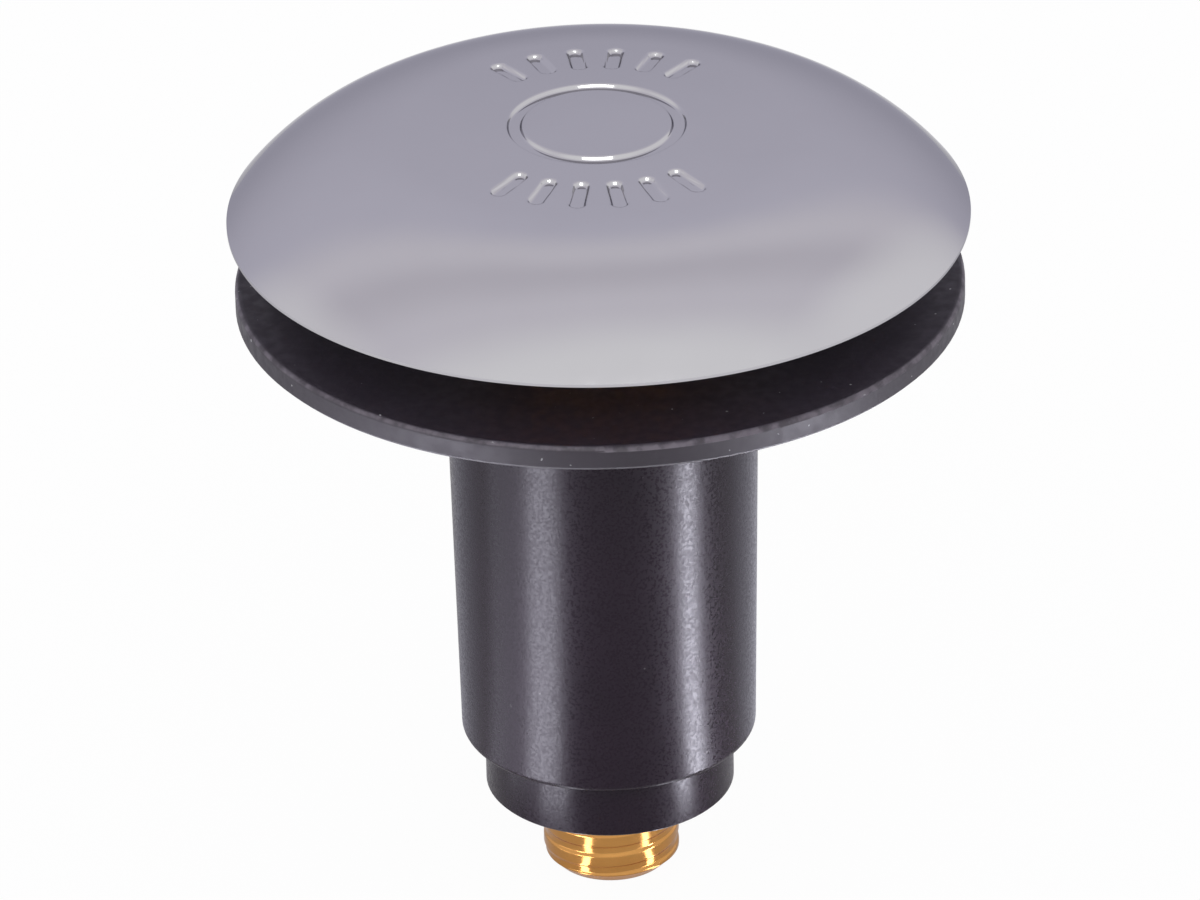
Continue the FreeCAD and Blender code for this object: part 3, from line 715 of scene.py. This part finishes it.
def make_floor(level):
    """White floor that takes a faint shadow."""
    corners = [(x * FLOOR_REACH, y * FLOOR_REACH, level) for x, y in ((-1, -1), (1, -1), (1, 1), (-1, 1))]
    mesh = bpy.data.meshes.new("floor")
    mesh.from_pydata(corners, [], [(0, 1, 2, 3)])
    floor = scene_object("floor", mesh)
    material = bpy.data.materials.new("floor_white")
    tree = empty_tree(material)
    path = tree.nodes.new("ShaderNodeLightPath")
    straight = combine(tree, "MULTIPLY", seen_straight(tree), FLOOR_WHITE)
    mirrored = combine(tree, "MULTIPLY", path.outputs["Is Glossy Ray"], FLOOR_WHITE_MIRRORED)
    share = combine(tree, "MAXIMUM", straight, mirrored)
    matt = plain_shader(tree, "ShaderNodeBsdfDiffuse", FLOOR_COLOUR)
    white = plain_shader(tree, "ShaderNodeEmission", WHITE)
    show(tree, "ShaderNodeOutputMaterial", mixed_shader(tree, share, matt, white))
    mesh.materials.append(material)


def floor_card(name, turn, spread, near, far, radiance, level):
    """Glowing sector of a ring that lies on the floor beside the object, out of the camera's sight."""
    angles = np.radians(turn + np.linspace(-spread / 2, spread / 2, CARD_STEPS))
    outwards = np.stack([np.sin(angles), -np.cos(angles)], axis=1)
    heights = np.full((CARD_STEPS, 1), level)
    arcs = [np.hstack([radius * outwards, heights]) for radius in (near, far)]
    faces = [
        [index, CARD_STEPS + index, CARD_STEPS + index + 1, index + 1]
        for index in range(CARD_STEPS - 1)
    ]
    card = mesh_object(name, np.concatenate(arcs).tolist(), faces)
    card.visible_camera = False
    card.visible_diffuse = False
    card.visible_shadow = False
    material = bpy.data.materials.new(name)
    tree = empty_tree(material)
    glow = plain_shader(tree, "ShaderNodeEmission", CARD_TINT)
    glow.inputs["Strength"].default_value = radiance
    show(tree, "ShaderNodeOutputMaterial", glow)
    card.data.materials.append(material)


def towards_front(elevation):
    """Direction from the object to a point in front of it, so many degrees up."""
    tilt = math.radians(elevation)
    return Vector((0, -math.cos(tilt), math.sin(tilt)))


def make_soft_box():
    """Soft box in front of the object, out of the camera's sight."""
    light = bpy.data.lights.new("front_box", "AREA")
    light.shape = "RECTANGLE"
    light.size = BOX_WIDTH
    light.size_y = BOX_HEIGHT
    light.energy = BOX_RADIANCE * math.pi * BOX_WIDTH * BOX_HEIGHT
    lamp = scene_object("front_box", light)
    lamp.visible_camera = False
    towards = towards_front(BOX_ELEVATION)
    lamp.location = VIEW_TARGET + towards * BOX_DISTANCE
    lamp.rotation_euler = towards.to_track_quat("Z", "Y").to_euler()


def make_camera():
    """Camera at the photograph's viewing angle."""
    camera = bpy.data.cameras.new("photo_camera")
    camera.sensor_width = CAMERA_SENSOR
    camera.lens = PIXELS_PER_MM / MM * CAMERA_DISTANCE * CAMERA_SENSOR / FRAME_WIDTH
    camera.clip_start = CAMERA_NEAR
    camera.clip_end = CAMERA_FAR
    holder = scene_object("photo_camera", camera)
    back = towards_front(CAMERA_ELEVATION)
    facing = (-back).to_track_quat("-Z", "Y").to_matrix().to_4x4()
    roll = Matrix.Rotation(math.radians(-CAMERA_ROLL), 4, "Z")
    holder.matrix_world = Matrix.Translation(VIEW_TARGET + back * CAMERA_DISTANCE) @ facing @ roll
    bpy.context.scene.camera = holder


finishes = {
    "chrome": chrome_finish(),
    "rubber": rubber_finish(),
    "black_plastic": plastic_finish(),
    "brass": brass_finish(),
    "steel": steel_finish(),
    "nylon": nylon_finish(),
}
for subpart in frame["record"]["subparts"]:
    materials = frame["nodes"][subpart["node"]].data.materials
    materials.clear()
    materials.append(finishes[subpart["material_slot"]])

cap = make_cap()
cap.data.materials.append(finishes["chrome"])
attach(cap, "cap")
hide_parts("cap")

stud = make_stud()
stud.data.materials.append(finishes["brass"])
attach(stud, "post")
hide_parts("mounting_stud")

spring = make_spring()
spring.data.materials.append(finishes["steel"])
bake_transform(spring)
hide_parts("spring")

floor_level = cad_low.z - FLOOR_GAP
card_level = floor_level + CARD_LIFT
make_world()
make_floor(floor_level)
for name, turn, spread, radiance in SLEEVE_CARDS:
    floor_card(name, turn, spread, SLEEVE_CARD_NEAR, SLEEVE_CARD_FAR, radiance, card_level)
for name, turn, spread, radiance in STUD_CARDS:
    floor_card(name, turn, spread, STUD_CARD_NEAR, STUD_CARD_FAR, radiance, card_level)
make_soft_box()
make_camera()
bpy.context.scene.view_settings.view_transform = "Standard"
